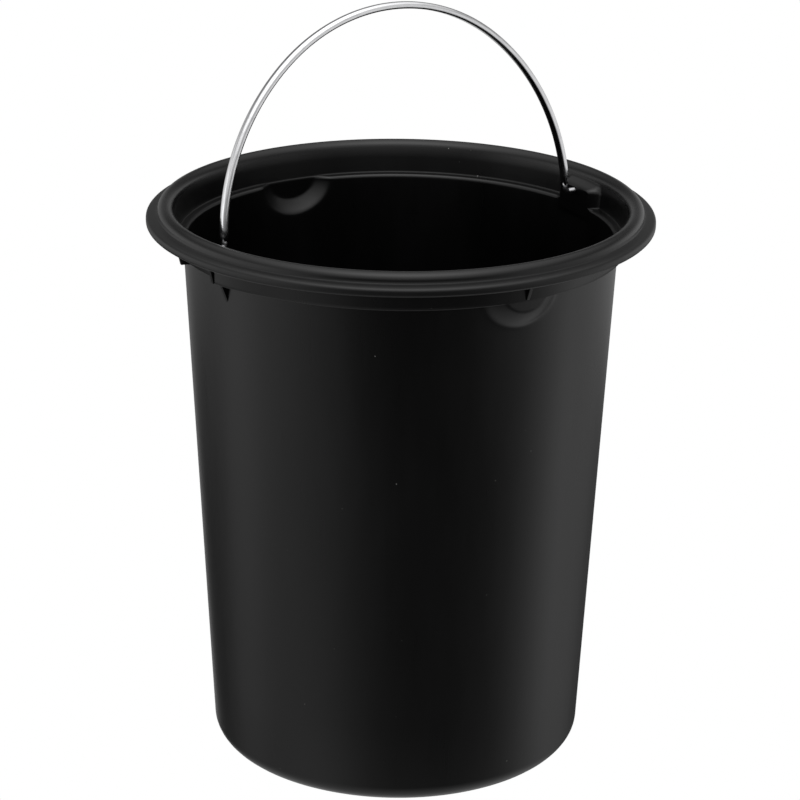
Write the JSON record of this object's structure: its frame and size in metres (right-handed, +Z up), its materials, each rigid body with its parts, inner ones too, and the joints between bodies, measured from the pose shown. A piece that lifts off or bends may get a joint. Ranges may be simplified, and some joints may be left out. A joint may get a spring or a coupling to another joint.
{
  "type": "florist bucket",
  "caption": "Tapered round moulded bucket with a flanged rim, an inner ledge, finger pockets and a hinged steel strip bail that folds down inside the collar.",
  "frame": {"origin": "centre of the foot ring on the surface that the bucket stands on", "axes": "+Z up along the bucket's axis, +X along the hinge axis of the bail, +Y towards one finger pocket"},
  "size_m": [0.22, 0.22, 0.3336],
  "materials": {
    "bucket_plastic": "black polypropylene as moulded, satin, smoother on the rim bead",
    "bail_steel": "bright plated steel strip, polished, with faint lengthwise draw lines"
  },
  "bodies": {
    "bucket_body": {"bucket": "bucket_plastic"},
    "bail_body": {"bail": "bail_steel"}
  },
  "joints": [
    {"name": "bail_hinge", "type": "hinge", "parent": "bucket_body", "child": "bail_body", "pos_m": [0, 0, 0.2405], "axis": [1, 0, 0], "range_deg": [-85.5, 98.5]}
  ]
}
